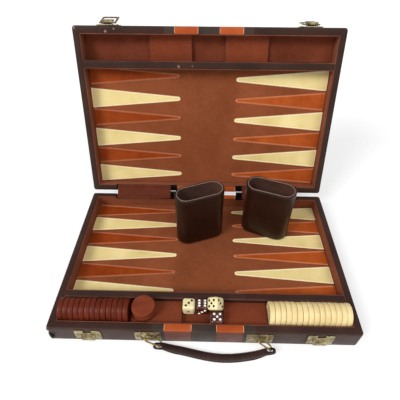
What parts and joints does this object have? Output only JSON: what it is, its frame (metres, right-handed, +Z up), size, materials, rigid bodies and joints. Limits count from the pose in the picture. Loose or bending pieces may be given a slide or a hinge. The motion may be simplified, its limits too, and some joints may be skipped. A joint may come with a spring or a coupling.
{
  "type": "backgammon case",
  "caption": "Attache-style backgammon case that opens on two hinges into a playing board, with wells for checkers and dice, toggle latches, a carrying handle and dice cups.",
  "frame": {"origin": "centre of the base tray's underside", "axes": "+X along the long side, to the right; +Y to the hinged rear side, where the lid stands; +Z up"},
  "size_m": [0.381, 0.3869, 0.2694],
  "materials": {
    "vinyl": "satin embossed dark brown vinyl with orange and grey stripes",
    "lining": "matte rust brown napped vinyl",
    "hinge_vinyl": "padded tan brown vinyl",
    "brass": "antique pale brass, satin",
    "steel": "blackened",
    "grip": "dark brown leather, worn",
    "cup_leather": "dark brown leather, semi-gloss",
    "cup_suede": "dark brown suede",
    "dark_checker": "polished red-brown",
    "cream_checker": "polished cream"
  },
  "bodies": {
    "base": {"base_shell": "vinyl", "base_field": "lining", "base_divider": "vinyl", "base_well_insert": "lining", "hinge_leaf_base_left": "steel", "hinge_leaf_base_right": "steel", "hinge_cover_base_left": "hinge_vinyl", "hinge_cover_base_right": "hinge_vinyl", "catch_plate_left": "brass", "catch_plate_right": "brass", "handle_plate_left": "brass", "handle_plate_right": "brass"},
    "hinge_pins": {"hinge_pin_left": "steel", "hinge_pin_right": "steel"},
    "lid": {"lid_shell": "vinyl", "lid_field": "lining", "lid_divider": "vinyl", "lid_well_insert": "lining", "hinge_leaf_lid_left": "steel", "hinge_leaf_lid_right": "steel", "hinge_cover_lid_left": "hinge_vinyl", "hinge_cover_lid_right": "hinge_vinyl", "latch_plate_left": "brass", "latch_plate_right": "brass", "latch_pin_left": "brass", "latch_pin_right": "brass"},
    "latch_lever_left": {"latch_lever_left": "brass"},
    "latch_loop_left": {"latch_loop_left": "brass"},
    "latch_lever_right": {"latch_lever_right": "brass"},
    "latch_loop_right": {"latch_loop_right": "brass"},
    "handle_rings": {"handle_ring_left": "brass", "handle_ring_right": "brass"},
    "handle_grip": {"handle_grip": "grip"},
    "cup_left": {"cup_left": "cup_leather", "cup_lining_left": "cup_suede"},
    "cup_right": {"cup_right": "cup_leather", "cup_lining_right": "cup_suede"},
    "die_cream_flat": {"die_cream_flat": "cream_checker"},
    "die_brown_rear": {"die_brown_rear": "dark_checker"},
    "die_brown_front": {"die_brown_front": "dark_checker"},
    "die_cream_leaning": {"die_cream_leaning": "cream_checker"},
    "checker_row_dark": {"checker_row_dark": "dark_checker"},
    "checker_row_cream": {"checker_row_cream": "cream_checker"},
    "checker_loose_lower": {"checker_loose_lower": "dark_checker"},
    "checker_loose_upper": {"checker_loose_upper": "dark_checker"}
  },
  "joints": [
    {"name": "lid_close", "type": "hinge", "parent": "base", "child": "hinge_pins", "pos_m": [0, 0.1254, 0.02845], "axis": [-1, 0, 0], "range_deg": [-108.6, 0]},
    {"name": "lid_flat", "type": "hinge", "parent": "hinge_pins", "child": "lid", "pos_m": [0, 0.1254, 0.02845], "axis": [-1, 0, 0], "range_deg": [0, 70.4]},
    {"name": "latch_lever_left", "type": "hinge", "parent": "lid", "child": "latch_lever_left", "pos_m": [-0.141, 0.20867, 0.26726], "axis": [1, 0, 0], "range_deg": [0, 140]},
    {"name": "latch_loop_left", "type": "hinge", "parent": "latch_lever_left", "child": "latch_loop_left", "pos_m": [-0.141, 0.21192, 0.26469], "axis": [-1, 0, 0], "range_deg": [-164.6, 0]},
    {"name": "latch_lever_right", "type": "hinge", "parent": "lid", "child": "latch_lever_right", "pos_m": [0.141, 0.20867, 0.26726], "axis": [1, 0, 0], "range_deg": [0, 140]},
    {"name": "latch_loop_right", "type": "hinge", "parent": "latch_lever_right", "child": "latch_loop_right", "pos_m": [0.141, 0.21192, 0.26469], "axis": [-1, 0, 0], "range_deg": [-174.6, 0]},
    {"name": "handle_swing", "type": "hinge", "parent": "base", "child": "handle_rings", "pos_m": [0, -0.1287, 0.02], "axis": [-1, 0, 0], "range_deg": [0, 110]},
    {"name": "handle_grip_turn", "type": "hinge", "parent": "handle_rings", "child": "handle_grip", "pos_m": [0.01306, -0.12976, 0.0083], "axis": [-0.9999, 0.01, 0.0093], "range_deg": [0, 15]},
    {"name": "cup_tip_left", "type": "hinge", "parent": "base", "child": "cup_left", "pos_m": [-0.00292, 0.02755, 0.00621], "axis": [0.9642, 0.1874, -0.1874], "range_deg": [0, 92.09]},
    {"name": "cup_tip_right", "type": "hinge", "parent": "base", "child": "cup_right", "pos_m": [0.08647, 0.03909, 0.00618], "axis": [0.9703, -0.1711, 0.1711], "range_deg": [0, 91.73]},
    {"name": "die_cream_flat_lift", "type": "slide", "parent": "base", "child": "die_cream_flat", "axis": [0, 0, 1], "range_m": [0, 0.03]},
    {"name": "die_brown_rear_lift", "type": "slide", "parent": "base", "child": "die_brown_rear", "axis": [0, 0, 1], "range_m": [0, 0.03]},
    {"name": "die_brown_front_lift", "type": "slide", "parent": "die_brown_rear", "child": "die_brown_front", "axis": [0, 0, 1], "range_m": [0, 0.03]},
    {"name": "die_cream_leaning_lift", "type": "slide", "parent": "die_brown_front", "child": "die_cream_leaning", "axis": [0, 0, 1], "range_m": [0, 0.03]},
    {"name": "checker_row_dark_lift", "type": "slide", "parent": "base", "child": "checker_row_dark", "axis": [0, 0, 1], "range_m": [0, 0.04]},
    {"name": "checker_row_cream_lift", "type": "slide", "parent": "base", "child": "checker_row_cream", "axis": [0, 0, 1], "range_m": [0, 0.04]},
    {"name": "checker_loose_lower_lift", "type": "slide", "parent": "base", "child": "checker_loose_lower", "axis": [0, 0, 1], "range_m": [0, 0.02]},
    {"name": "checker_loose_upper_lift", "type": "slide", "parent": "checker_loose_lower", "child": "checker_loose_upper", "axis": [0, 0, 1], "range_m": [0, 0.02]}
  ],
  "couplings": [
    {"joint": "cup_tip_left", "follows": "lid_close", "ratio": -0.8479},
    {"joint": "cup_tip_right", "follows": "lid_close", "ratio": -0.8446}
  ]
}
